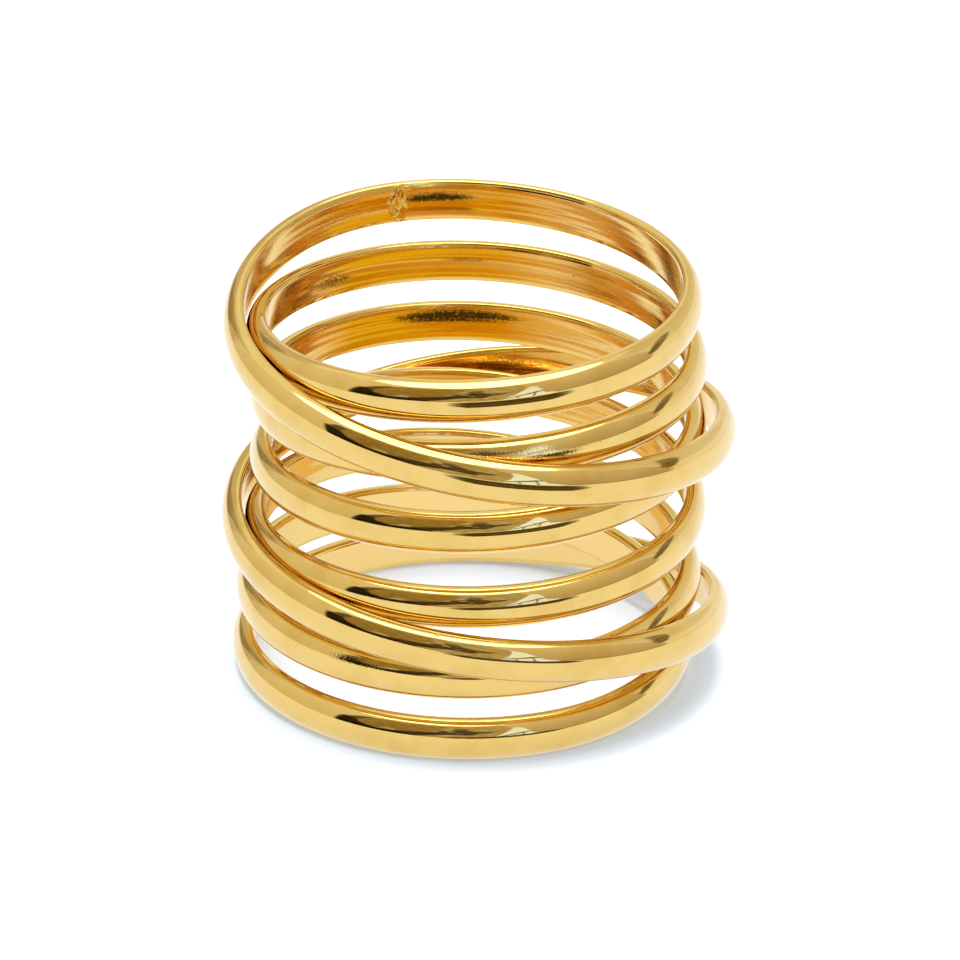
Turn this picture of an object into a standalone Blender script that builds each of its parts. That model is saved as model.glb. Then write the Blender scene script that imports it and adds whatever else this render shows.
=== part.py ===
"""Multi-band ring: one closed loop of half-round gold wire, wound eight times round the finger.

Metres, +Z up. The ring stands on z = 0 with the finger hole upright, centred on the origin,
and its crossing strands to the front (-Y).
"""

import bpy
import numpy as np

FINGER_DIAMETER = 0.0173
WIRE_WIDTH = 0.00175
WIRE_THICKNESS = 0.00083
WIRE_EDGE_ROUND = 0.00013
WIRE_SIDE_WALL = 0.0001
STRAND_GAP = 0.00005

TURNS = 8
SECTIONS_PER_TURN = 40
DOME_STEPS = 6
EASE_SECTIONS = 3

GOLD_COLOUR = (1.0, 0.77, 0.34, 1.0)
GOLD_ROUGHNESS = 0.08

# The wire's route, in turns counter-clockwise from the front. Height is the middle of the wire
# above the table in wire widths. Layer is how far its flat inner face stands off the finger,
# in thicknesses of one strand with its gap. The route closes on its own start.
WINDING_COLUMNS = ("turn", "height", "layer")
WINDING = (
    # Second turn from the bottom, rising into the main coil
    (0.0, 2.05, 0.25),
    (0.25, 2.45, -0.1),
    (0.5, 3.25, -0.1),
    (0.75, 3.7, 0.05),
    # Inner coil, rising to the top
    (1.0, 3.8, 0.1),
    (1.25, 4.25, 0.05),
    (1.5, 4.9, -0.2),
    (1.75, 5.4, -0.25),
    (2.0, 5.65, 0.0),
    (2.25, 6.2, -0.05),
    (2.5, 6.7, -0.3),
    (2.75, 6.95, -0.3),
    (3.0, 7.4, -0.05),
    (3.25, 7.85, -0.1),
    (3.5, 8.25, -0.2),
    (3.75, 8.45, -0.1),
    (4.0, 8.8, -0.25),
    (4.25, 9.3, -0.4),
    # Top turn, swinging out at the back and down over the coil
    (4.5, 9.75, 0.2),
    (4.625, 9.65, 0.6),
    (4.75, 8.85, 0.9),
    (4.875, 8.05, 1.05),
    # Outer wraps, crossing down over the coil
    (5.0, 7.25, 1.2),
    (5.25, 6.15, 1.35),
    (5.5, 5.15, 1.15),
    (5.75, 3.95, 1.1),
    (6.0, 2.85, 1.25),
    (6.25, 1.55, 1.3),
    # Bottom turn, lying on the table and slipping back inside
    (6.5, 0.4, 0.9),
    (6.625, 0.35, 0.8),
    (6.75, 0.4, 0.65),
    (7.0, 0.45, 0.2),
    (7.25, 0.8, -0.35),
    (7.5, 1.7, 0.05),
    (7.75, 2.05, 0.45),
)


def remove_old_objects():
    for old in list(bpy.data.objects):
        bpy.data.objects.remove(old, do_unlink=True)


def make_collection(name):
    collection = bpy.data.collections.new(name)
    bpy.context.scene.collection.children.link(collection)
    return collection


def smooth_loop(places, values, samples):
    """Closed cubic curve through the values, with continuous curvature, read at the samples."""
    count = len(places)
    steps = np.diff(np.append(places, places[0] + TURNS))
    slopes = (np.roll(values, -1) - values) / steps
    system = np.zeros((count, count))
    for row in range(count):
        system[row, row - 1] += steps[row - 1]
        system[row, row] += 2 * (steps[row - 1] + steps[row])
        system[row, (row + 1) % count] += steps[row]
    bends = np.linalg.solve(system, 6 * (slopes - np.roll(slopes, 1)))

    row = np.searchsorted(places, samples, side="right") - 1
    after = (row + 1) % count
    ahead = (samples - places[row]) / steps[row]
    behind = 1 - ahead
    bulge = (behind ** 3 - behind) * bends[row] + (ahead ** 3 - ahead) * bends[after]
    return behind * values[row] + ahead * values[after] + steps[row] ** 2 / 6 * bulge


def ease(values):
    """Running mean round the loop, which turns a kink into a bend."""
    reach = EASE_SECTIONS // 2
    return sum(np.roll(values, shift) for shift in range(-reach, reach + 1)) / (2 * reach + 1)


def wire_route():
    """Points along the middle of the wire's flat inner face."""
    table = dict(zip(WINDING_COLUMNS, np.array(WINDING).T))
    turn = np.arange(TURNS * SECTIONS_PER_TURN) / SECTIONS_PER_TURN
    height = WIRE_WIDTH * smooth_loop(table["turn"], table["height"], turn)
    height = ease(np.maximum(height, WIRE_WIDTH / 2))
    layer_step = WIRE_THICKNESS + STRAND_GAP
    radius = FINGER_DIAMETER / 2 + layer_step * smooth_loop(table["turn"], table["layer"], turn)

    angle = 2 * np.pi * turn
    across = np.column_stack((np.sin(angle), -np.cos(angle)))
    crown = across * (radius + WIRE_THICKNESS)[:, None]
    middle = (crown.max(axis=0) + crown.min(axis=0)) / 2
    return np.column_stack((across * radius[:, None] - middle, height))


def wire_section():
    """Half-round outline as (outward, up) points: flat inside, rounded edges, short walls, dome."""
    half_width = WIRE_WIDTH / 2
    edge_round = min(WIRE_EDGE_ROUND, half_width / 2)
    edge = [(edge_round * (1 - np.sin(turn)), half_width - edge_round * (1 - np.cos(turn)))
            for turn in (np.pi / 2, np.pi / 4, 0.0)]
    wall_end = edge_round + WIRE_SIDE_WALL
    dome_depth = WIRE_THICKNESS - wall_end
    dome = [(wall_end + dome_depth * np.cos(turn), half_width * np.sin(turn))
            for turn in np.linspace(np.pi / 2, -np.pi / 2, DOME_STEPS + 1)]
    return edge + dome + [(outward, -up) for outward, up in reversed(edge)]


def make_curve(name, points, collection):
    """Closed curve object with straight pieces between its points."""
    curve = bpy.data.curves.new(name, "CURVE")
    curve.dimensions = "3D"
    spline = curve.splines.new("POLY")
    spline.points.add(len(points) - 1)
    for spot, point in zip(spline.points, points):
        spot.co = (*point, 1.0)
    spline.use_cyclic_u = True
    spline.use_smooth = True
    obj = bpy.data.objects.new(name, curve)
    collection.objects.link(obj)
    return obj


def gold():
    material = bpy.data.materials.new("polished_yellow_gold")
    material.use_nodes = True
    shader = material.node_tree.nodes["Principled BSDF"]
    shader.inputs["Base Color"].default_value = GOLD_COLOUR
    shader.inputs["Metallic"].default_value = 1.0
    shader.inputs["Roughness"].default_value = GOLD_ROUGHNESS
    return material


def make_profile(collection):
    """The wire's cross-section, drawn so that its dome faces away from the finger."""
    profile = make_curve("wire_profile", [(outward, up, 0.0) for outward, up in wire_section()], collection)
    profile.data.dimensions = "2D"
    profile.data.fill_mode = "NONE"
    profile.hide_render = True
    profile.display_type = "WIRE"
    return profile


def make_band(profile, collection):
    """The whole wound wire, soldered into one endless loop."""
    band = make_curve("wrapped_band", wire_route(), collection)
    band.data.twist_mode = "Z_UP"
    band.data.bevel_mode = "OBJECT"
    band.data.bevel_object = profile
    band.data.materials.append(gold())
    return band


def main():
    remove_old_objects()
    ring = make_collection("multi_band_ring")
    guides = make_collection("guides")
    make_band(make_profile(guides), ring)


main()
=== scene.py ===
"""Multi-band ring, dressed: the fine wound wire, its solder seam, polished gold and a studio.

Metres, +Z up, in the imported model's frame. Run as a script in Blender 4.5.
"""

import math

import bmesh
import bpy
import numpy as np
from bpy.props import FloatProperty, FloatVectorProperty, IntProperty, PointerProperty
from mathutils import Matrix, Vector, geometry, noise


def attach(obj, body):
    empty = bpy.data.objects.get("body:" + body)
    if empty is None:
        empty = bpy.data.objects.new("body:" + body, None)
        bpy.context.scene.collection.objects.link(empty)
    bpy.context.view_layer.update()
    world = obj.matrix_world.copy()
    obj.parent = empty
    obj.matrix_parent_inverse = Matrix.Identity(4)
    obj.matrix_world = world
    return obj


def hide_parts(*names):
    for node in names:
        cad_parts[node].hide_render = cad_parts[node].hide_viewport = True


bl_info = {
    "name": "Multi-band ring",
    "version": (1, 0, 0),
    "blender": (4, 5, 0),
    "location": "View3D > Sidebar > Ring",
    "description": "Winds a half-round gold wire into a multi-band ring and sets up its studio",
    "category": "Add Mesh",
}

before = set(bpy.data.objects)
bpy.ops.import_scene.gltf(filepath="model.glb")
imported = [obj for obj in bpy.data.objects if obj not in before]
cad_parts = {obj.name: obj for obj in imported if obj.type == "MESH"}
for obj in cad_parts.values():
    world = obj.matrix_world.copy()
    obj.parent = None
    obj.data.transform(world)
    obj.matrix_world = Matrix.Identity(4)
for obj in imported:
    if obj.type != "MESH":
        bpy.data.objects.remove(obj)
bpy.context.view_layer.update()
NODE = "wrapped_band"

TURNS = 8

# The wire's route, as the model's source has it: turns counter-clockwise from the front, the
# middle's height in wire widths, and the inner face's standoff from the finger in layers.
WINDING_COLUMNS = ("turn", "height", "layer")
WINDING = (
    (0.0, 2.05, 0.25),
    (0.25, 2.45, -0.1),
    (0.5, 3.25, -0.1),
    (0.75, 3.7, 0.05),
    (1.0, 3.8, 0.1),
    (1.25, 4.25, 0.05),
    (1.5, 4.9, -0.2),
    (1.75, 5.4, -0.25),
    (2.0, 5.65, 0.0),
    (2.25, 6.2, -0.05),
    (2.5, 6.7, -0.3),
    (2.75, 6.95, -0.3),
    (3.0, 7.4, -0.05),
    (3.25, 7.85, -0.1),
    (3.5, 8.25, -0.2),
    (3.75, 8.45, -0.1),
    (4.0, 8.8, -0.25),
    (4.25, 9.3, -0.4),
    (4.5, 9.75, 0.2),
    (4.625, 9.65, 0.6),
    (4.75, 8.85, 0.9),
    (4.875, 8.05, 1.05),
    (5.0, 7.25, 1.2),
    (5.25, 6.15, 1.35),
    (5.5, 5.15, 1.15),
    (5.75, 3.95, 1.1),
    (6.0, 2.85, 1.25),
    (6.25, 1.55, 1.3),
    (6.5, 0.4, 0.9),
    (6.625, 0.35, 0.8),
    (6.75, 0.4, 0.65),
    (7.0, 0.45, 0.2),
    (7.25, 0.8, -0.35),
    (7.5, 1.7, 0.05),
    (7.75, 2.05, 0.45),
)
# Kinks in the route are eased over this part of a turn to either side.
EASE_TURNS = 0.025
# The swept turns are welded end to end where they meet this closely.
WELD = 0.000001
# Steps that round each edge of the section, points on its flat face that carry the face's marks,
# and how far towards the edges these points reach.
EDGE_STEPS, FLAT_POINTS, FLAT_REACH = 4, 6, 0.75

# Where the two ends of the wire are soldered together, at the back of the top turn, how finely
# the bead is cut, and its size: its half thickness, its half length along the wire, and its
# reach to either side as a share of the wire's width.
SEAM_TURN, SEAM_SUBDIVISIONS = 4.5625, 5
SEAM_THICKNESS, SEAM_HALF_LENGTH, SEAM_REACH = 0.00008, 0.0005, 0.49
# Its lumps and the bays of its outline: how closely they lie on a bead of radius 1, and how far
# they stand out. Then the dimension, scale step and layers of the lumps.
SEAM_LUMPS, SEAM_LUMP_HEIGHT = 2.3, 1.3
SEAM_BAYS, SEAM_BAY_DEPTH, SEAM_BAY_START = 1.7, 0.9, Vector((7.0, 0.0, 0.0))
SEAM_FRACTAL = (0.8, 2.0, 3)
# How square the bead is towards the wire's edges, how deep it is sunk and how far it is bent.
SEAM_SQUARENESS, SEAM_SINK, SEAM_BEND = 0.7, 0.35, 0.4

# Dull spots on the inner faces, rougher and grainier, with painted shade: their colour is painted
# near-black where the inner faces mirror dark things. The turn in the middle of each and its half
# length in turns, its middle and half width as shares of the way round the section, and its
# strength.
DULL_SHADED_SPOTS = (
    (4.532, 0.026, 0.87, 0.035, 1.0),
    (2.518, 0.045, 0.9, 0.055, 1.0),
    (3.625, 0.02, 0.8, 0.06, 0.55),
    (3.51, 0.018, 0.86, 0.03, 0.5),
    (5.49, 0.045, 0.83, 0.16, 0.45),
)
GRAINY_SPOTS = (
    (3.035, 0.05, 0.25, 0.07, 1.0),
    (7.915, 0.02, 0.24, 0.07, 1.0),
    (4.6, 0.035, 0.83, 0.1, 0.6),
)
# A spot fades out at this many times its own size.
SPOT_EDGE = 1.6

# The inner faces from here to there lie deepest in the coil and mirror mostly other gold; their
# colour there is painted a deeper orange, a painted reflection of that gold. They do so most a
# little past the back, where the front strands stand in their way.
DEEP_FROM, DEEP_TO, DEEP_FADE = 1.25, 5.75, 0.25
DEEP_MIDDLE, DEEP_REACH, DEEP_EDGE = 0.545, 0.135, 0.07

# Shares of the way round the section, from the inner face's top edge over the dome, over which
# the lacquered dome and the flat inner face begin, and over which they end.
DOME_START, DOME_END = (0.09, 0.14), (0.52, 0.58)
INNER_START, INNER_END = (0.655, 0.69), (0.97, 1.0)

# Hand-finished metal. Waves, grains, pits, patches and clouds are counted on a metre, scratches
# and streaks on a turn and on the section's girth. Heights and depths are in metres, and an edge
# is the range over which a pattern fades in.
WAVES, WAVE_HEIGHT = 210.0, 0.000012
GRAINS, GRAIN_HEIGHT = 12000.0, 0.000006
PITS, PIT_DEPTH, PIT_EDGE, PITS_LEFT_OUT = 750.0, 0.000006, (0.02, 0.09), 0.86
SCRATCHES, SCRATCH_DEPTH, SCRATCH_EDGE = (70.0, 420.0, 1.0), 0.00000012, (0.6, 0.72)
DULL_PATCHES, DULL_EDGE = 420.0, (0.45, 0.75)
PATCH_DULLNESS, SCRATCH_DULLNESS, PIT_DULLNESS = 0.5, 0.3, 0.6
DULL_ROUGHNESS, LACQUER_ROUGHNESS = 0.035, 0.03
CLOUDS, CLOUD_EDGE = 700.0, (0.42, 0.72)

# The inner face: broad streaks with the share of painted deep reflection between and on them, and
# fine streaks with how much duller they make the face.
STREAKS, STREAK_HEIGHT = (2.6, 8.0, 1.0), 0.00004
STREAK_EDGE, STREAK_DEEPNESS = (0.44, 0.8), (1.0, 0.15)
FINE_STREAKS, FINE_STREAK_HEIGHT = (7.0, 150.0, 1.0), 0.00000025
FINE_STREAK_EDGE, FINE_STREAK_ROUGHNESS = (0.3, 0.7), (0.8, 1.3)
# The dull spots with their painted shade, and the grainy spots: how their edges are broken up, and
# their grain and roughness.
BREAKS, BREAK_EDGE, BREAK_STRENGTH = 9000.0, (0.1, 0.32), (0.5, 1.2)
DULL_SHADED_EDGE, GRAINY_EDGE = (0.2, 0.8), (0.0, 0.8)
DULL_SPOT_GRAIN, DULL_SPOT_ROUGHNESS = 0.4, 0.25

# The solder: patches of its two colours, which also stand proud, its grain and its dullness.
SOLDER_PATCHES, SOLDER_EDGE, SOLDER_HEIGHT = 3500.0, (0.38, 0.55), 0.00002
SOLDER_GRAIN, SOLDER_DULLNESS = 0.3, 0.2

# The room round the table as the gold mirrors it: each card's softness at its edges, how mottled
# it is, its colour at its foot and at its top beside the white table, and its corners, as azimuth
# from the front towards the right and elevation, in degrees.
ROOM = (
    ("far_left_wall", 8, 0.05, (0.62, 0.54, 0.4), (0.72, 0.66, 0.55),
     ((-178, -2), (-118, -2), (-118, 48), (-178, 44))),
    ("left_wall", 5, 0.03, (0.8, 0.72, 0.56), (0.92, 0.87, 0.78),
     ((-130, -5), (-59, -5), (-59, 64), (-130, 58))),
    ("left_skirting", 1.6, 0.05, (0.36, 0.3, 0.2), (0.5, 0.44, 0.34),
     ((-127, -6), (-60, -6), (-60, -1), (-127, -1))),
    ("right_wall", 4, 0.04, (0.54, 0.46, 0.36), (0.86, 0.77, 0.67),
     ((20, -5), (97, -4), (100, 58), (20, 66))),
    ("right_skirting", 2, 0.05, (0.34, 0.26, 0.15), (0.56, 0.46, 0.32),
     ((40, -4), (94, -4), (94, 3), (40, 5))),
    ("doorway", 4, 0.25, (0.3, 0.23, 0.11), (0.4, 0.29, 0.11),
     ((-64, -7), (20, -6), (26, 60), (-58, 58))),
    ("pale_panel", 4, 0.3, (0.5, 0.43, 0.32), (0.54, 0.46, 0.32),
     ((-26, -7), (20, -7), (28, 10), (28, 60), (-12, 60), (-14, 34), (-26, 12))),
    ("doorway_head", 5, 0.2, (0.5, 0.42, 0.28), (0.8, 0.74, 0.6),
     ((-54, 52), (27, 54), (27, 66), (-54, 66))),
    ("doorway_edge", 3, 0.2, (0.05, 0.04, 0.02), (0.2, 0.16, 0.09),
     ((-65, -7), (-53, -7), (-52, 50), (-61, 54))),
    ("bench", 2.5, 0.5, (0.012, 0.008, 0.004), (0.04, 0.03, 0.015),
     ((-64, -8), (-22, -8), (-20, 8), (-28, 14), (-42, 9), (-50, 16), (-54, 27), (-64, 30))),
    ("bench_lamp", 2.5, 0.3, (0.5, 0.45, 0.42), (0.7, 0.65, 0.65),
     ((-41, 9), (-32, 9), (-32, 17), (-41, 17))),
    ("stand_arm", 2.5, 0.4, (0.05, 0.03, 0.015), (0.1, 0.08, 0.04),
     ((-30, 2), (-20, 2), (-5, 14), (-3, 25), (-12, 26), (-30, 14))),
    ("stand_head", 2.5, 0.4, (0.06, 0.045, 0.03), (0.2, 0.17, 0.12),
     ((-14, 14), (5, 11), (8, 19), (16, 21), (16, 29), (8, 29), (4, 35), (2, 47), (-6, 47),
      (-7, 34), (-14, 29))),
    ("stand_glint", 1.5, 0.1, (0.7, 0.7, 0.75), (0.8, 0.8, 0.85),
     ((-9, 25), (-4, 25), (-4, 29), (-9, 29))),
    ("stand_small_glint", 1.5, 0.1, (0.5, 0.5, 0.5), (0.6, 0.6, 0.6),
     ((-4, 19), (0, 19), (0, 22), (-4, 22))),
    ("window", 0.6, 0.0, (1.05, 1.35, 2.3), (1.05, 1.35, 2.3),
     ((13, -6), (42, -6), (39, 3), (34, 7), (31, 40), (28, 42), (18, 12), (14, 4))),
    ("window_bar", 0.8, 0.1, (0.1, 0.08, 0.05), (0.2, 0.17, 0.1),
     ((14, 1), (34, 14), (34, 17), (30, 17), (14, 4))),
    ("window_post", 0.8, 0.1, (0.12, 0.1, 0.06), (0.4, 0.35, 0.25),
     ((19, -6), (21, -6), (22, 6), (20, 6))),
    ("window_second_post", 0.8, 0.1, (0.12, 0.1, 0.06), (0.4, 0.35, 0.25),
     ((27, -6), (29, -6), (30, 11), (28, 11))),
    ("back_right_wall", 6, 0.05, (0.88, 0.85, 0.78), (0.76, 0.71, 0.6),
     ((95, 22), (108, 14), (178, 10), (178, 50), (130, 60), (98, 58))),
    ("curtain", 2.5, 0.3, (0.16, 0.12, 0.06), (0.4, 0.33, 0.22),
     ((93, 8), (100, 10), (111, 22), (128, 36), (126, 42), (110, 37), (99, 28), (92, 18))),
    ("far_shelf", 3, 0.2, (0.3, 0.25, 0.15), (0.5, 0.44, 0.32),
     ((-156, 4), (-136, 4), (-128, 34), (-150, 36))),
)
# No side of a card's faces is longer than this in degrees, and each card stands in front of the
# one before it by this share of the room's radius. Then the mottles on the cards.
CARD_STEP, CARD_SPACING = 4.0, 0.015
MOTTLES, MOTTLE_EDGE = 16.0, (0.3, 0.7)

# The softbox as the gold mirrors it: its segments, the share of its radius that is fully bright,
# and how much wider it looks than the light itself.
SOFTBOX_SEGMENTS, SOFTBOX_CORE, SOFTBOX_SPREAD = 40, 0.9, 1.8
TABLE_HALF_SIZE, TABLE_ROUGHNESS, TABLE_SHEEN = 1.2, 0.9, 0.1

# The dark slab lying on the table in front of the ring: its azimuths, its distances and height,
# how far its face stands off the table, and how fast and how much its ends taper.
SLAB_AZIMUTHS = (-13.0, 48.0)
SLAB_NEAR, SLAB_FAR, SLAB_HEIGHT, SLAB_LIFT = 0.042, 0.17, 0.004, 0.0003
SLAB_SEGMENTS, SLAB_TAPER, SLAB_NARROWING = 32, 1.8, 0.8
SLAB_FOOT, SLAB_TOP, SLAB_MOTTLING = (0.03, 0.022, 0.01), (0.09, 0.07, 0.03), 0.5

# The camera's sensor in millimetres, what it looks at, and the nearest and farthest it sees.
SENSOR_WIDTH = 36.0
CAMERA_TARGET = (0.00009, 0.00004, 0.00816)
CAMERA_NEAR, CAMERA_FAR = 0.01, 5.0


class RingWire(bpy.types.PropertyGroup):
    """The wire and how it is wound."""

    finger_diameter: FloatProperty(
        name="Finger diameter", description="Nominal diameter of the finger hole",
        default=0.0173, min=0.01, unit="LENGTH", precision=5)
    wire_width: FloatProperty(
        name="Wire width", description="Width of the wire along the finger",
        default=0.00175, min=0.0005, unit="LENGTH", precision=5)
    wire_thickness: FloatProperty(
        name="Wire thickness", description="From the flat inner face to the top of the dome",
        default=0.00083, min=0.0003, unit="LENGTH", precision=5)
    edge_round: FloatProperty(
        name="Edge rounding", description="Radius on the edges of the flat inner face",
        default=0.00013, min=0.00002, unit="LENGTH", precision=5)
    side_wall: FloatProperty(
        name="Side wall", description="Flat side between the rounded edge and the dome",
        default=0.0001, min=0.0, unit="LENGTH", precision=5)
    strand_gap: FloatProperty(
        name="Strand gap", description="Space between a strand and the one it lies on",
        default=0.00005, min=0.0, unit="LENGTH", precision=5)
    sections_per_turn: IntProperty(
        name="Sections per turn", description="How finely the wire is swept",
        default=160, min=16)
    dome_steps: IntProperty(
        name="Dome steps", description="How finely the dome of the section is rounded",
        default=18, min=6)


class RingGold(bpy.types.PropertyGroup):
    """The colour and polish of the gold."""

    colour: FloatVectorProperty(
        name="Colour", description="Colour of the gold plate",
        subtype="COLOR", size=3, default=(0.82, 0.575, 0.165), min=0.0, max=1.0)
    deep_colour: FloatVectorProperty(
        name="Deep colour", description="Colour of the less polished inner faces",
        subtype="COLOR", size=3, default=(0.9, 0.65, 0.25), min=0.0, max=1.0)
    # Painted reflection: inner faces deep in the coil take this darker orange for the other gold
    # they mirror; the solder's darker patches have it as their own colour.
    painted_reflection_and_solder_colour: FloatVectorProperty(
        name="Deepest colour", description="Colour of the inner faces deepest in the coil",
        subtype="COLOR", size=3, default=(0.74, 0.36, 0.006), min=0.0, max=1.0)
    tarnish_colour: FloatVectorProperty(
        name="Tarnish colour", description="Colour of the faintly clouded patches on the dome",
        subtype="COLOR", size=3, default=(0.76, 0.51, 0.125), min=0.0, max=1.0)
    # Painted shade: the dull spots inside are coloured this near-black where the inner faces
    # mirror dark things.
    painted_shade_colour: FloatVectorProperty(
        name="Brushed colour", description="Colour of the dull brushed spots inside",
        subtype="COLOR", size=3, default=(0.07, 0.04, 0.006), min=0.0, max=1.0)
    lacquer: FloatProperty(
        name="Lacquer", description="How much clear lacquer covers the polished dome",
        default=0.8, min=0.0, max=1.0)
    polish: FloatProperty(
        name="Polish", description="Roughness of the polished dome",
        default=0.02, min=0.0, max=1.0)
    inner_finish: FloatProperty(
        name="Inner finish", description="Roughness of the drawn inner face",
        default=0.12, min=0.0, max=1.0)


class RingStudio(bpy.types.PropertyGroup):
    """The table, the lights and the camera."""

    lens: FloatProperty(
        name="Lens", description="Focal length on a 36 mm sensor, in millimetres",
        default=175.0, min=10.0)
    distance: FloatProperty(
        name="Distance", description="From the camera to what it looks at",
        default=0.1922, min=0.02, unit="LENGTH", precision=4)
    looking_down: FloatProperty(
        name="Looking down", description="Angle of the view below the horizon",
        default=math.radians(24.2), subtype="ANGLE")
    tilt: FloatProperty(
        name="Tilt", description="Turn of the camera about its own view",
        default=math.radians(0.7), subtype="ANGLE")
    room_radius: FloatProperty(
        name="Room radius", description="How far away the mirrored surroundings stand",
        default=1.0, min=0.1, unit="LENGTH")
    table_colour: FloatVectorProperty(
        name="Table colour", description="Colour of the white table, cool in its shadows",
        subtype="COLOR", size=3, default=(0.86, 0.9, 0.98), min=0.0, max=1.0)
    shadow_fill: FloatVectorProperty(
        name="Shadow fill", description="Light that lifts the table's shadows in the picture",
        subtype="COLOR", size=3, default=(0.0, 0.07, 0.14), min=0.0, max=1.0)
    mirrored_table: FloatVectorProperty(
        name="Mirrored table", description="Colour of the evenly lit table as the gold mirrors it",
        subtype="COLOR", size=3, default=(1.0, 1.0, 1.0), min=0.0, max=2.0)
    mirrored_share: FloatProperty(
        name="Mirrored share", description="How much of the mirrored table is evenly lit",
        default=0.85, min=0.0, max=1.0)
    softbox_height: FloatProperty(
        name="Softbox height", description="Height of the softbox above the table",
        default=0.9, min=0.1, unit="LENGTH")
    softbox_angle: FloatProperty(
        name="Softbox half angle", description="How far the softbox spreads as the ring sees it",
        default=math.radians(17), subtype="ANGLE")
    softbox_strength: FloatProperty(
        name="Softbox strength", description="How bright the softbox is beside the white room",
        default=3.8, min=0.0)
    table_light: FloatProperty(
        name="Table light", description="How much more of the softbox falls on the table",
        default=2.7, min=0.0)


def smooth_loop(places, values, samples):
    """Closed cubic curve through the values, with continuous curvature, read at the samples."""
    count = len(places)
    steps = np.diff(np.append(places, places[0] + TURNS))
    slopes = (np.roll(values, -1) - values) / steps
    system = np.zeros((count, count))
    for row in range(count):
        system[row, row - 1] += steps[row - 1]
        system[row, row] += 2 * (steps[row - 1] + steps[row])
        system[row, (row + 1) % count] += steps[row]
    bends = np.linalg.solve(system, 6 * (slopes - np.roll(slopes, 1)))

    row = np.searchsorted(places, samples, side="right") - 1
    after = (row + 1) % count
    ahead = (samples - places[row]) / steps[row]
    behind = 1 - ahead
    bulge = (behind ** 3 - behind) * bends[row] + (ahead ** 3 - ahead) * bends[after]
    return behind * values[row] + ahead * values[after] + steps[row] ** 2 / 6 * bulge


def wire_route(wire):
    """Points along the middle of the wire's flat inner face, and the turn of each."""
    table = dict(zip(WINDING_COLUMNS, np.array(WINDING).T))
    turn = np.arange(TURNS * wire.sections_per_turn) / wire.sections_per_turn
    height = wire.wire_width * smooth_loop(table["turn"], table["height"], turn)
    height = np.maximum(height, wire.wire_width / 2)
    reach = round(EASE_TURNS * wire.sections_per_turn)
    height = sum(np.roll(height, shift) for shift in range(-reach, reach + 1)) / (2 * reach + 1)
    layer_step = wire.wire_thickness + wire.strand_gap
    standoff = layer_step * smooth_loop(table["turn"], table["layer"], turn)
    radius = wire.finger_diameter / 2 + standoff

    angle = 2 * np.pi * turn
    across = np.column_stack((np.sin(angle), -np.cos(angle)))
    crown = across * (radius + wire.wire_thickness)[:, None]
    middle = (crown.max(axis=0) + crown.min(axis=0)) / 2
    return np.column_stack((across * radius[:, None] - middle, height)), turn


def wire_section(wire):
    """Half-round outline as (outward, up) points, from the inner face's top edge over the dome."""
    half_width = wire.wire_width / 2
    rounding = min(wire.edge_round, half_width / 2)
    edge = [(rounding * (1 - math.sin(turn)), half_width - rounding * (1 - math.cos(turn)))
            for turn in np.linspace(np.pi / 2, 0, EDGE_STEPS + 1)]
    wall_end = rounding + wire.side_wall
    depth = wire.wire_thickness - wall_end
    dome = [(wall_end + depth * math.cos(turn), half_width * math.sin(turn))
            for turn in np.linspace(np.pi / 2, -np.pi / 2, wire.dome_steps + 1)]
    flat = [(0.0, share * (half_width - rounding))
            for share in np.linspace(-FLAT_REACH, FLAT_REACH, FLAT_POINTS)]
    return edge + dome + [(outward, -up) for outward, up in reversed(edge)] + flat


def section_frames(points):
    """A matrix for each section: X outward, Y up the wire's side, Z back along the wire."""
    ahead = np.roll(points, -1, axis=0) - np.roll(points, 1, axis=0)
    frames = []
    for point, along in zip(points, ahead):
        along = Vector(along).normalized()
        outward = along.cross(Vector((0, 0, 1))).normalized()
        up = outward.cross(along)
        columns = Matrix((outward, up, -along)).transposed().to_4x4()
        frames.append(Matrix.Translation(point) @ columns)
    return frames


def sweep_turn(section, frames, turns):
    """One turn of wire as an open tube: the section extruded from frame to frame."""
    bm = bmesh.new()
    along = bm.verts.layers.float.new("along")
    around = bm.verts.layers.float.new("around")
    outline = np.array(section)
    lengths = np.linalg.norm(outline - np.roll(outline, 1, axis=0), axis=1)
    girth = np.cumsum(lengths) - lengths[0]

    first = [bm.verts.new(frames[0] @ Vector((*spot, 0.0))) for spot in section]
    for vert, place in zip(first, girth / lengths.sum()):
        vert[along] = turns[0]
        vert[around] = place
    loop = [bm.edges.new((first[i - 1], first[i])) for i in range(len(first))]
    for before, after, turn in zip(frames, frames[1:], turns[1:]):
        made = bmesh.ops.extrude_edge_only(bm, edges=loop)["geom"]
        verts = {item for item in made if isinstance(item, bmesh.types.BMVert)}
        loop = [item for item in made if isinstance(item, bmesh.types.BMEdge)
                and verts.issuperset(item.verts)]
        bmesh.ops.transform(bm, matrix=after @ before.inverted(), verts=list(verts))
        for vert in verts:
            vert[along] = turn
    return bm


def sweep_wire(wire):
    """The whole loop of wire, its turns welded end to end."""
    points, turns = wire_route(wire)
    frames = section_frames(points)
    frames.append(frames[0])
    turns = np.append(turns, 0.0)
    section = wire_section(wire)
    whole = bmesh.new()
    for start in range(0, len(points), wire.sections_per_turn):
        reach = slice(start, start + wire.sections_per_turn + 1)
        turn = sweep_turn(section, frames[reach], turns[reach])
        mesh = bpy.data.meshes.new("turn")
        turn.to_mesh(mesh)
        turn.free()
        whole.from_mesh(mesh)
        bpy.data.meshes.remove(mesh)
    bmesh.ops.remove_doubles(whole, verts=whole.verts, dist=WELD)
    return whole


def spot_strength(spots, turn, place):
    """How strongly any of the spots marks a place on the wire, from 0 to 1."""
    strongest = 0.0
    for middle, half_length, across, half_width, strength in spots:
        reach = math.hypot((turn - middle) / half_length, (place - across) / half_width)
        strongest = max(strongest, strength * min(SPOT_EDGE - reach, 1.0))
    return strongest


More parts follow.
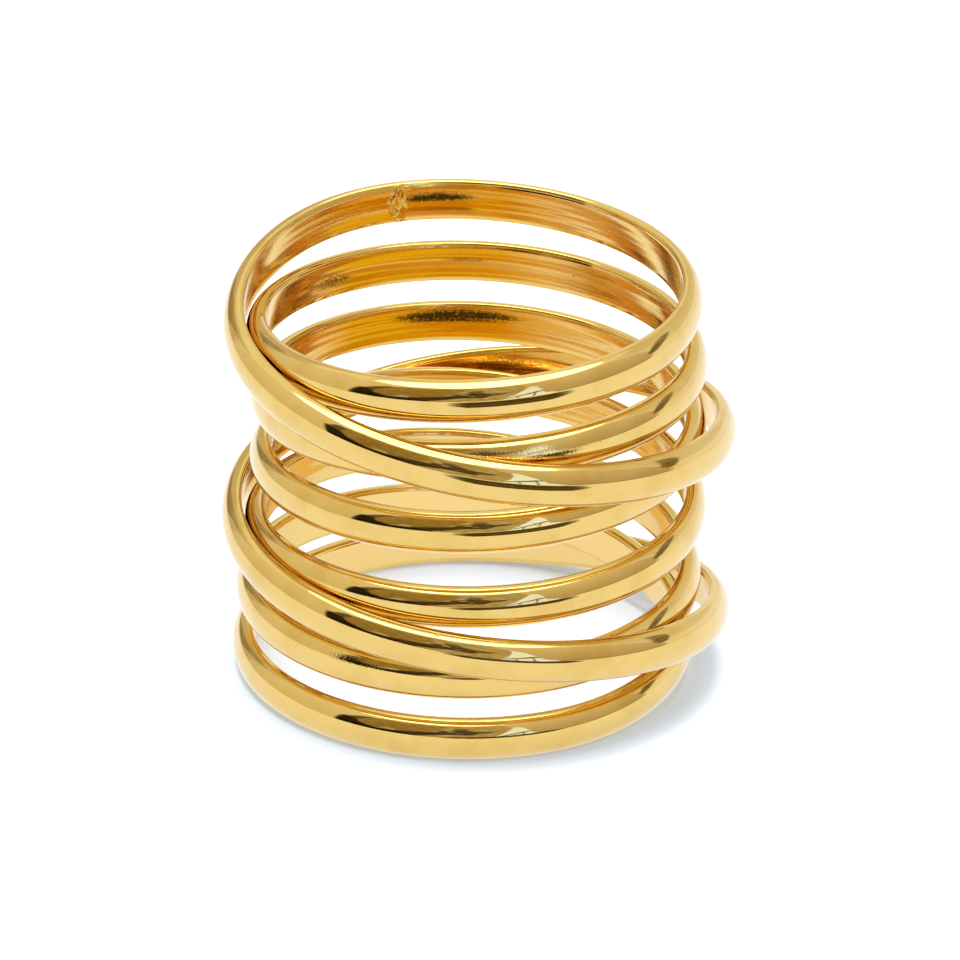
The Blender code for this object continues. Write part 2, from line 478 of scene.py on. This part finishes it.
def mark_surface(bm):
    """Stores per vertex: dull spots with painted shade, grain, and painted reflection deep in the
    coil.
    """
    along = bm.verts.layers.float["along"]
    around = bm.verts.layers.float["around"]
    dull_shaded = bm.verts.layers.float.new("dull_shaded")
    grainy = bm.verts.layers.float.new("grainy")
    deep_painted_reflection = bm.verts.layers.float.new("deep_painted_reflection")
    for vert in bm.verts:
        turn, place = vert[along], vert[around]
        vert[dull_shaded] = spot_strength(DULL_SHADED_SPOTS, turn, place)
        vert[grainy] = spot_strength(GRAINY_SPOTS, turn, place)
        inside = min(turn - DEEP_FROM, DEEP_TO - turn) / DEEP_FADE
        behind = (DEEP_REACH - abs(turn % 1 - DEEP_MIDDLE)) / DEEP_EDGE
        vert[deep_painted_reflection] = max(min(inside, behind, 1.0), 0.0)


def lay_uvs(bm):
    """UV map: turns along the wire from the solder seam in U, share round the section in V."""
    along = bm.verts.layers.float["along"]
    around = bm.verts.layers.float["around"]
    uv = bm.loops.layers.uv.new("wire")
    for face in bm.faces:
        turns = [(loop.vert[along] - SEAM_TURN) % TURNS for loop in face.loops]
        places = [loop.vert[around] for loop in face.loops]
        closes_turn = max(turns) - min(turns) > TURNS / 2
        closes_girth = max(places) - min(places) > 0.5
        for loop, turn, place in zip(face.loops, turns, places):
            if closes_turn and turn < TURNS / 2:
                turn += TURNS
            if closes_girth and place < 0.5:
                place += 1
            loop[uv].uv = (turn, place)


def solder_bead(wire):
    """A lumpy bead over the joint, lying across the wire's flat inner face."""
    bm = bmesh.new()
    bmesh.ops.create_icosphere(bm, subdivisions=SEAM_SUBDIVISIONS, radius=1.0)
    for vert in bm.verts:
        lump = noise.fractal(vert.co * SEAM_LUMPS, *SEAM_FRACTAL)
        bay = noise.noise(vert.co * SEAM_BAYS + SEAM_BAY_START)
        vert.co.y = math.copysign(abs(vert.co.y) ** SEAM_SQUARENESS, vert.co.y)
        vert.co.x = vert.co.x * (1 + SEAM_LUMP_HEIGHT * lump) + SEAM_SINK
        vert.co.z = vert.co.z * (1 + SEAM_BAY_DEPTH * bay) + SEAM_BEND * vert.co.y ** 2
    sizes = (SEAM_THICKNESS, wire.wire_width * SEAM_REACH, SEAM_HALF_LENGTH)
    bmesh.ops.scale(bm, vec=sizes, verts=bm.verts)

    points, turns = wire_route(wire)
    joint = int(np.argmin(np.abs(turns - SEAM_TURN)))
    bmesh.ops.transform(bm, matrix=section_frames(points)[joint], verts=bm.verts)
    return bm


def add_to_scene(name, data):
    """A new object of the scene that holds a mesh, a light or a camera."""
    obj = bpy.data.objects.new(name, data)
    bpy.context.scene.collection.objects.link(obj)
    return obj


def add_mesh(bm, name, material):
    """A new mesh object made from a bmesh, which is used up."""
    mesh = bpy.data.meshes.new(name)
    bm.to_mesh(mesh)
    bm.free()
    mesh.materials.append(material)
    return add_to_scene(name, mesh)


def add_piece(bm, name, material):
    """A smooth-shaded piece that rides on the ring."""
    bmesh.ops.recalc_face_normals(bm, faces=bm.faces)
    piece = add_mesh(bm, name, material)
    piece.data.shade_smooth()
    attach(piece, "root")
    return piece


class Shading:
    """Adds nodes to one tree and joins them up."""

    def __init__(self, tree):
        self.tree = tree

    def feed(self, socket, value):
        """Links a socket to another one, or sets its own value."""
        if isinstance(value, bpy.types.NodeSocket):
            self.tree.links.new(value, socket)
        else:
            socket.default_value = value

    def add(self, kind, inputs=(), **settings):
        node = self.tree.nodes.new(kind)
        for name, value in settings.items():
            setattr(node, name, value)
        for name, value in dict(inputs).items():
            self.feed(node.inputs[name], value)
        return node

    def attribute(self, name):
        return self.add("ShaderNodeAttribute", attribute_name=name).outputs["Fac"]

    def math(self, operation, first, second):
        node = self.add("ShaderNodeMath", operation=operation)
        self.feed(node.inputs[0], first)
        self.feed(node.inputs[1], second)
        return node.outputs[0]

    def times(self, first, second):
        return self.math("MULTIPLY", first, second)

    def total(self, *parts):
        """Sum of values, each given with its weight."""
        whole, *rest = [self.times(value, weight) for value, weight in parts]
        for part in rest:
            whole = self.math("ADD", whole, part)
        return whole

    def remap(self, value, start, end, low=0.0, high=1.0, smooth=True):
        kind = "SMOOTHSTEP" if smooth else "LINEAR"
        limits = {"Value": value, "From Min": start, "From Max": end,
                  "To Min": low, "To Max": high}
        return self.add("ShaderNodeMapRange", limits, interpolation_type=kind).outputs["Result"]

    def between(self, value, start, end):
        """1 from the start range to the end range, and 0 outside them."""
        return self.times(self.remap(value, *start), self.remap(value, *end, 1.0, 0.0))

    def blend(self, share, first, second):
        """Mix of two colours, each a socket or a colour's three values."""
        node = self.add("ShaderNodeMix", {"Factor": share}, data_type="RGBA")
        for name, value in (("A", first), ("B", second)):
            is_socket = isinstance(value, bpy.types.NodeSocket)
            self.feed(node.inputs[name], value if is_socket else (*value, 1.0))
        return node.outputs["Result"]

    def noise(self, place, scale=1.0, detail=3.0, stretch=(1.0, 1.0, 1.0)):
        mapping = self.add("ShaderNodeMapping", {"Vector": place, "Scale": stretch})
        settings = {"Vector": mapping.outputs["Vector"], "Scale": scale, "Detail": detail}
        return self.add("ShaderNodeTexNoise", settings).outputs["Fac"]

    def bump(self, height):
        """Normal of a surface that has this height in metres."""
        settings = {"Height": height, "Distance": 1.0, "Strength": 1.0}
        return self.add("ShaderNodeBump", settings).outputs["Normal"]


def make_group(name, inputs, outputs):
    """An empty shader node group with its sockets, and the nodes at its two ends."""
    group = bpy.data.node_groups.new(name, "ShaderNodeTree")
    for socket, kind in inputs:
        group.interface.new_socket(socket, in_out="INPUT", socket_type=kind)
    for socket, kind in outputs:
        group.interface.new_socket(socket, in_out="OUTPUT", socket_type=kind)
    given = group.nodes.new("NodeGroupInput").outputs
    result = group.nodes.new("NodeGroupOutput").inputs
    return group, given, result


def gold_surface_group():
    """Hand-finished metal: slow waves, polishing scratches, pits and grain, as a height in
    metres and as a share of dullness."""
    sockets = [("Place", "NodeSocketVector"), ("Wire", "NodeSocketVector"),
               ("Grain", "NodeSocketFloat")]
    results = [("Height", "NodeSocketFloat"), ("Dullness", "NodeSocketFloat")]
    group, given, result = make_group("gold_surface", sockets, results)
    build = Shading(group)
    place = given["Place"]
    waves = build.noise(place, WAVES, detail=1.0)
    grain = build.times(build.noise(place, GRAINS, detail=2.0), given["Grain"])
    scratches = build.noise(given["Wire"], detail=2.0, stretch=SCRATCHES)
    scratches = build.remap(scratches, *SCRATCH_EDGE)
    cells = build.add("ShaderNodeTexVoronoi", {"Vector": place, "Scale": PITS}).outputs
    draw = build.add("ShaderNodeSeparateColor", {"Color": cells["Color"]}).outputs["Red"]
    pits = build.times(build.remap(cells["Distance"], *PIT_EDGE, 1.0, 0.0),
                       build.math("GREATER_THAN", draw, PITS_LEFT_OUT))
    patches = build.remap(build.noise(place, DULL_PATCHES, detail=4.0), *DULL_EDGE)

    build.feed(result["Height"], build.total(
        (waves, WAVE_HEIGHT), (grain, GRAIN_HEIGHT), (scratches, -SCRATCH_DEPTH),
        (pits, -PIT_DEPTH)))
    build.feed(result["Dullness"], build.total(
        (patches, PATCH_DULLNESS), (scratches, SCRATCH_DULLNESS), (pits, PIT_DULLNESS)))
    return group


def new_metal(name):
    """A metal material, with a builder for its nodes and the inputs of its shader."""
    material = bpy.data.materials.new(name)
    material.use_nodes = True
    shader = material.node_tree.nodes["Principled BSDF"].inputs
    shader["Metallic"].default_value = 1.0
    return material, Shading(material.node_tree), shader


def polished_gold(gold, surface):
    """Mirror-polished dome, drawn and streaked inner face with a painted reflection deep in the
    coil, and dull spots inside with painted shade.
    """
    material, build, shader = new_metal("polished_yellow_gold")
    wire = build.add("ShaderNodeUVMap", uv_map="wire").outputs["UV"]
    place = build.add("ShaderNodeTexCoord").outputs["Object"]
    across = build.add("ShaderNodeSeparateXYZ", {"Vector": wire}).outputs["Y"]
    inner = build.between(across, INNER_START, INNER_END)
    dome = build.between(across, DOME_START, DOME_END)
    build.feed(shader["Coat Weight"], build.times(dome, gold.lacquer))
    build.feed(shader["Coat Roughness"], LACQUER_ROUGHNESS)

    # Long streaks that the drawing plate left along the inner face
    streaks = build.noise(wire, detail=1.0, stretch=STREAKS)
    fine_streaks = build.noise(wire, detail=3.0, stretch=FINE_STREAKS)
    breaks = build.times(fine_streaks, build.noise(place, BREAKS, detail=2.0))
    ragged = build.times(build.attribute("dull_shaded"),
                         build.remap(breaks, *BREAK_EDGE, *BREAK_STRENGTH))
    dull_shaded = build.remap(ragged, *DULL_SHADED_EDGE)
    grainy = build.remap(build.attribute("grainy"), *GRAINY_EDGE)
    grain = build.total((grainy, 1.0), (dull_shaded, DULL_SPOT_GRAIN))
    finish = build.add("ShaderNodeGroup", node_tree=surface)
    for name, value in (("Place", place), ("Wire", wire), ("Grain", grain)):
        build.feed(finish.inputs[name], value)

    # Painted reflection: inner faces deep in the coil take the darker orange along the broad
    # streaks, for the other gold they mirror.
    deep_painted_reflection = build.times(build.attribute("deep_painted_reflection"),
                       build.remap(streaks, *STREAK_EDGE, *STREAK_DEEPNESS))
    inner_colour = build.blend(deep_painted_reflection, gold.deep_colour, gold.painted_reflection_and_solder_colour)
    # Painted shade: the dull spots are coloured near-black where the inner faces mirror dark
    # things.
    inner_colour = build.blend(dull_shaded, inner_colour, gold.painted_shade_colour)
    clouds = build.remap(build.noise(place, CLOUDS, detail=5.0), *CLOUD_EDGE)
    dome_colour = build.blend(clouds, gold.colour, gold.tarnish_colour)
    build.feed(shader["Base Color"], build.blend(inner, dome_colour, inner_colour))

    streaked = build.remap(fine_streaks, *FINE_STREAK_EDGE, *FINE_STREAK_ROUGHNESS, smooth=False)
    build.feed(shader["Roughness"], build.total(
        (build.times(inner, streaked), gold.inner_finish),
        (build.math("SUBTRACT", 1.0, inner), gold.polish),
        (finish.outputs["Dullness"], DULL_ROUGHNESS), (dull_shaded, DULL_SPOT_ROUGHNESS)))
    build.feed(shader["Normal"], build.bump(build.total(
        (finish.outputs["Height"], 1.0), (build.times(inner, streaks), STREAK_HEIGHT),
        (build.times(inner, fine_streaks), FINE_STREAK_HEIGHT))))
    return material


def solder(gold, surface):
    """The solder of the seam: the same gold, duller and pitted."""
    material, build, shader = new_metal("gold_solder")
    place = build.add("ShaderNodeTexCoord").outputs["Object"]
    finish = build.add("ShaderNodeGroup", node_tree=surface)
    for name, value in (("Place", place), ("Wire", place), ("Grain", SOLDER_GRAIN)):
        build.feed(finish.inputs[name], value)
    patches = build.noise(place, SOLDER_PATCHES, detail=3.0)
    shade = build.remap(patches, *SOLDER_EDGE)
    # The solder's own two colours in random patches; the darker one is the colour also used for
    # the painted reflection.
    build.feed(shader["Base Color"], build.blend(shade, gold.painted_reflection_and_solder_colour, gold.colour))
    rough = build.times(finish.outputs["Dullness"], SOLDER_DULLNESS)
    build.feed(shader["Roughness"], build.math("ADD", rough, gold.inner_finish))
    build.feed(shader["Normal"], build.bump(build.total(
        (finish.outputs["Height"], 1.0), (patches, SOLDER_HEIGHT))))
    return material


class RING_OT_band(bpy.types.Operator):
    """Wind the wire into the band"""

    bl_idname = "ring.band"
    bl_label = "Wound band"

    def execute(self, context):
        bm = sweep_wire(context.scene.ring_wire)
        mark_surface(bm)
        lay_uvs(bm)
        material = polished_gold(context.scene.ring_gold, gold_surface_group())
        band = add_piece(bm, "gold_band", material)
        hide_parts(NODE)
        return {"FINISHED"}


class RING_OT_seam(bpy.types.Operator):
    """Lay the lumpy solder over the joint in the wire"""

    bl_idname = "ring.seam"
    bl_label = "Solder seam"

    def execute(self, context):
        surface = bpy.data.node_groups["gold_surface"]
        material = solder(context.scene.ring_gold, surface)
        add_piece(solder_bead(context.scene.ring_wire), "solder_seam", material)
        return {"FINISHED"}


def glow(name, foot, top, mottling=0.0):
    """Light for a card that the gold mirrors: from foot to top colour, fading out at its edges."""
    material = bpy.data.materials.new(name)
    material.use_nodes = True
    material.cycles.emission_sampling = "NONE"
    material.node_tree.nodes.clear()
    build = Shading(material.node_tree)
    place = build.add("ShaderNodeTexCoord").outputs["Object"]
    mottles = build.noise(place, MOTTLES, detail=4.0)
    strength = build.remap(mottles, *MOTTLE_EDGE, 1 - mottling, 1 + mottling)
    colour = build.blend(build.attribute("rise"), foot, top)
    light = build.add("ShaderNodeEmission", {"Color": colour, "Strength": strength})
    clear = build.add("ShaderNodeBsdfTransparent")
    mix = build.add("ShaderNodeMixShader", {"Fac": build.remap(build.attribute("fade"), 0.0, 1.0)})
    build.feed(mix.inputs[1], clear.outputs["BSDF"])
    build.feed(mix.inputs[2], light.outputs["Emission"])
    build.add("ShaderNodeOutputMaterial", {"Surface": mix.outputs["Shader"]})
    return material


def mirrored_only(obj):
    """Shows an object to polished surfaces and to nothing else."""
    obj.visible_camera = False
    obj.visible_diffuse = False
    obj.visible_shadow = False
    obj.visible_transmission = False
    obj.visible_volume_scatter = False


def direction(azimuth, elevation):
    """Unit vector, with azimuth 0 to the front and growing towards the right."""
    side, rise = math.radians(azimuth), math.radians(elevation)
    level = math.cos(rise)
    return Vector((math.sin(side) * level, -math.cos(side) * level, math.sin(rise)))


def edge_distance(spot, corners):
    """How far a spot lies from the nearest side of a polygon."""
    ends = zip(corners, corners[1:] + corners[:1])
    nearest = (geometry.intersect_point_line(spot, start, end) for start, end in ends)
    return min((spot - (foot if 0 <= share <= 1 else corner)).length
               for (foot, share), corner in zip(nearest, corners))


def room_card(name, softness, mottling, foot, top, corners, radius):
    """A soft-edged card on the room's dome, through corners given as (azimuth, elevation)."""
    corners = [Vector((*corner, 0.0)) for corner in corners]
    bm = bmesh.new()
    bm.faces.new([bm.verts.new(corner) for corner in corners])
    bmesh.ops.triangulate(bm, faces=bm.faces)
    longest = min(softness, CARD_STEP)
    while long_edges := [edge for edge in bm.edges if edge.calc_length() > longest]:
        bmesh.ops.subdivide_edges(bm, edges=long_edges, cuts=1)
        bmesh.ops.triangulate(bm, faces=[face for face in bm.faces if len(face.verts) > 3])
    fade = bm.verts.layers.float.new("fade")
    rise = bm.verts.layers.float.new("rise")
    low = min(corner.y for corner in corners)
    high = max(corner.y for corner in corners)
    for vert in bm.verts:
        vert[fade] = min(edge_distance(vert.co, corners) / softness, 1.0)
        vert[rise] = (vert.co.y - low) / (high - low)
        vert.co = direction(vert.co.x, vert.co.y) * radius
    add_mirrored(bm, name, glow(name, foot, top, mottling))


def add_mirrored(bm, name, material):
    """A stage object that only the gold's reflections show."""
    card = add_mesh(bm, name, material)
    mirrored_only(card)


def white_table(studio):
    """The large pale table that the ring stands on, a little overexposed as in the photograph."""
    material = bpy.data.materials.new("white_table")
    material.use_nodes = True
    material.cycles.emission_sampling = "NONE"
    nodes = material.node_tree.nodes
    build = Shading(material.node_tree)
    shader = nodes["Principled BSDF"]
    build.feed(shader.inputs["Base Color"], (*studio.table_colour, 1.0))
    build.feed(shader.inputs["Roughness"], TABLE_ROUGHNESS)
    build.feed(shader.inputs["Specular IOR Level"], TABLE_SHEEN)
    build.feed(shader.inputs["Emission Color"], (*studio.shadow_fill, 1.0))
    ray = build.add("ShaderNodeLightPath").outputs
    build.feed(shader.inputs["Emission Strength"], ray["Is Camera Ray"])
    mirrored = build.add("ShaderNodeEmission", {"Color": (*studio.mirrored_table, 1.0)})
    share = build.times(ray["Is Glossy Ray"], studio.mirrored_share)
    mix = build.add("ShaderNodeMixShader", {"Fac": share})
    build.feed(mix.inputs[1], shader.outputs["BSDF"])
    build.feed(mix.inputs[2], mirrored.outputs["Emission"])
    build.feed(nodes["Material Output"].inputs["Surface"], mix.outputs["Shader"])

    bm = bmesh.new()
    bmesh.ops.create_grid(bm, x_segments=1, y_segments=1, size=TABLE_HALF_SIZE)
    table = add_mesh(bm, "table", material)


def dark_slab():
    """The low dark slab lying on the table in front of the ring: its front face and its top."""
    bm = bmesh.new()
    fade = bm.verts.layers.float.new("fade")
    rise = bm.verts.layers.float.new("rise")
    bmesh.ops.create_grid(bm, x_segments=SLAB_SEGMENTS, y_segments=2, size=1.0)
    start, end = SLAB_AZIMUTHS
    for vert in bm.verts:
        share = (vert.co.x + 1) / 2
        taper = math.sin(math.pi * share) * SLAB_TAPER
        fullness = math.sqrt(min(max(taper, 0.0), 1.0))
        is_foot, is_back = vert.co.y < -0.5, vert.co.y > 0.5
        near = SLAB_NEAR * (1 + SLAB_NARROWING * (1 - fullness))
        level = SLAB_LIFT if is_foot else SLAB_HEIGHT * fullness
        vert[fade] = fullness
        vert[rise] = level / SLAB_HEIGHT
        vert.co = direction(start + share * (end - start), 0) * (SLAB_FAR if is_back else near)
        vert.co.z = level
    add_mirrored(bm, "dark_slab", glow("dark_slab", SLAB_FOOT, SLAB_TOP, SLAB_MOTTLING))


def overhead_light(studio):
    """The round softbox straight above, and its soft edge as the gold mirrors it."""
    radius = studio.softbox_height * math.tan(studio.softbox_angle)
    data = bpy.data.lights.new("softbox", "AREA")
    data.shape = "DISK"
    data.size = 2 * radius
    data.energy = studio.softbox_strength * studio.table_light * (math.pi * radius) ** 2
    light = add_to_scene("softbox", data)
    light.location = (0.0, 0.0, studio.softbox_height)
    light.visible_camera = False
    light.visible_glossy = False

    bm = bmesh.new()
    fade = bm.verts.layers.float.new("fade")
    rise = bm.verts.layers.float.new("rise")
    bmesh.ops.create_grid(bm, x_segments=SOFTBOX_SEGMENTS, y_segments=SOFTBOX_SEGMENTS, size=1.0)
    spare = [vert for vert in bm.verts if vert.co.length > 1.0]
    bmesh.ops.delete(bm, geom=spare, context="VERTS")
    for vert in bm.verts:
        vert[fade] = min((1 - vert.co.length) / (1 - SOFTBOX_CORE), 1.0)
        vert[rise] = 1.0
    reach = radius * SOFTBOX_SPREAD
    bmesh.ops.scale(bm, vec=(reach, reach, 1.0), verts=bm.verts)
    bmesh.ops.translate(bm, vec=(0.0, 0.0, studio.softbox_height), verts=bm.verts)
    bright = (studio.softbox_strength,) * 3
    add_mirrored(bm, "softbox_face", glow("softbox_face", bright, bright))


def surrounding_light():
    """An even white room, shown without film toning."""
    bpy.context.scene.view_settings.view_transform = "Standard"
    world = bpy.data.worlds.new("white_room")
    world.use_nodes = True
    background = world.node_tree.nodes["Background"].inputs
    background["Color"].default_value = (1.0, 1.0, 1.0, 1.0)
    background["Strength"].default_value = 1.0
    bpy.context.scene.world = world


def add_camera(studio):
    """The camera, looking down at the ring from straight in front."""
    data = bpy.data.cameras.new("camera")
    data.lens = studio.lens
    data.sensor_width = SENSOR_WIDTH
    data.clip_start = CAMERA_NEAR
    data.clip_end = CAMERA_FAR
    camera = add_to_scene("camera", data)
    turn = Matrix.Rotation(math.pi / 2 - studio.looking_down, 4, "X")
    roll = Matrix.Rotation(studio.tilt, 4, "Z")
    back = turn @ Vector((0.0, 0.0, studio.distance))
    camera.matrix_world = Matrix.Translation(Vector(CAMERA_TARGET) + back) @ turn @ roll
    bpy.context.scene.camera = camera


class RING_OT_studio(bpy.types.Operator):
    """Lay the table and set up the lights, the mirrored room and the camera"""

    bl_idname = "ring.studio"
    bl_label = "Studio"

    def execute(self, context):
        studio = context.scene.ring_studio
        white_table(studio)
        dark_slab()
        overhead_light(studio)
        surrounding_light()
        for depth, card in enumerate(ROOM):
            room_card(*card, studio.room_radius * (1 - CARD_SPACING * depth))
        add_camera(studio)
        return {"FINISHED"}


class RING_PT_sidebar(bpy.types.Panel):
    """The ring's pieces and settings"""

    bl_label = "Ring"
    bl_idname = "RING_PT_sidebar"
    bl_space_type = "VIEW_3D"
    bl_region_type = "UI"
    bl_category = "Ring"

    def draw(self, context):
        layout = self.layout
        scene = context.scene
        for group in (scene.ring_wire, scene.ring_gold, scene.ring_studio):
            box = layout.box()
            for name in group.bl_rna.properties.keys():
                if name not in ("rna_type", "name"):
                    box.prop(group, name)
        layout.operator("ring.band")
        layout.operator("ring.seam")
        layout.operator("ring.studio")


CLASSES = (RingWire, RingGold, RingStudio, RING_OT_band, RING_OT_seam, RING_OT_studio,
           RING_PT_sidebar)


def register():
    for cls in CLASSES:
        bpy.utils.register_class(cls)
    bpy.types.Scene.ring_wire = PointerProperty(type=RingWire)
    bpy.types.Scene.ring_gold = PointerProperty(type=RingGold)
    bpy.types.Scene.ring_studio = PointerProperty(type=RingStudio)


def unregister():
    del bpy.types.Scene.ring_studio
    del bpy.types.Scene.ring_gold
    del bpy.types.Scene.ring_wire
    for cls in reversed(CLASSES):
        bpy.utils.unregister_class(cls)


def main():
    register()
    bpy.ops.ring.band()
    bpy.ops.ring.seam()
    bpy.ops.ring.studio()


if __name__ == "__main__":
    main()
